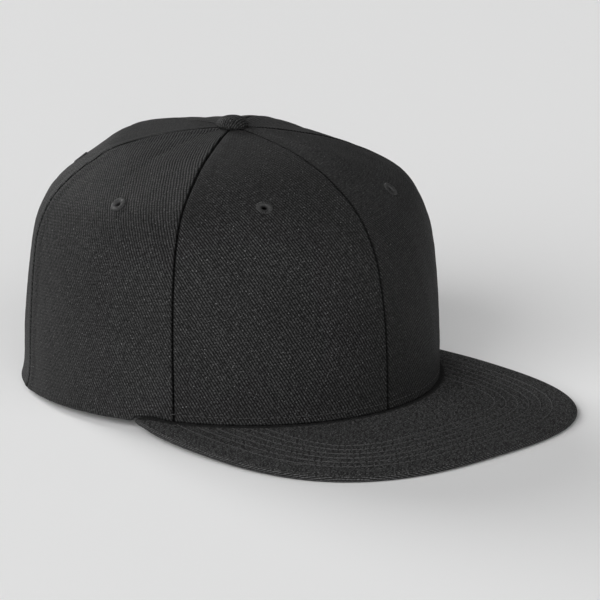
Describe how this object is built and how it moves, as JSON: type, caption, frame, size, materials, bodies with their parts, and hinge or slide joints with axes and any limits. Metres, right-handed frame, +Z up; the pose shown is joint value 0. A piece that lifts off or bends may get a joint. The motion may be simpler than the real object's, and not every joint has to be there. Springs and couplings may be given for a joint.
{
  "type": "flat bill cap",
  "caption": "Structured black twill cap with an open crown of sewn panels, a flat stitched bill, a covered button and sewn eyelets; it rests on its bill and rim.",
  "frame": {"origin": "middle of the cap's box, on the surface that the cap rests on", "axes": "+X to the front of the bill, +Y to the wearer's left, +Z up through the button"},
  "size_m": [0.2618, 0.1826, 0.121],
  "materials": {
    "twill": "black cotton twill with a fine diagonal rib, matte with a soft sheen",
    "thread": "black sewing thread, slightly glossier than the twill",
    "sweatband": "black plain-woven band, matte"
  },
  "bodies": {
    "root": {"front_left_panel": "twill", "front_right_panel": "twill", "side_left_panel": "twill", "side_right_panel": "twill", "back_left_panel": "twill", "back_right_panel": "twill", "bill": "twill", "top_button": "twill", "sweatband": "sweatband", "eyelet_front_left": "thread", "eyelet_front_right": "thread", "eyelet_side_left": "thread", "eyelet_side_right": "thread", "eyelet_back_left": "thread", "eyelet_back_right": "thread"}
  },
  "joints": []
}
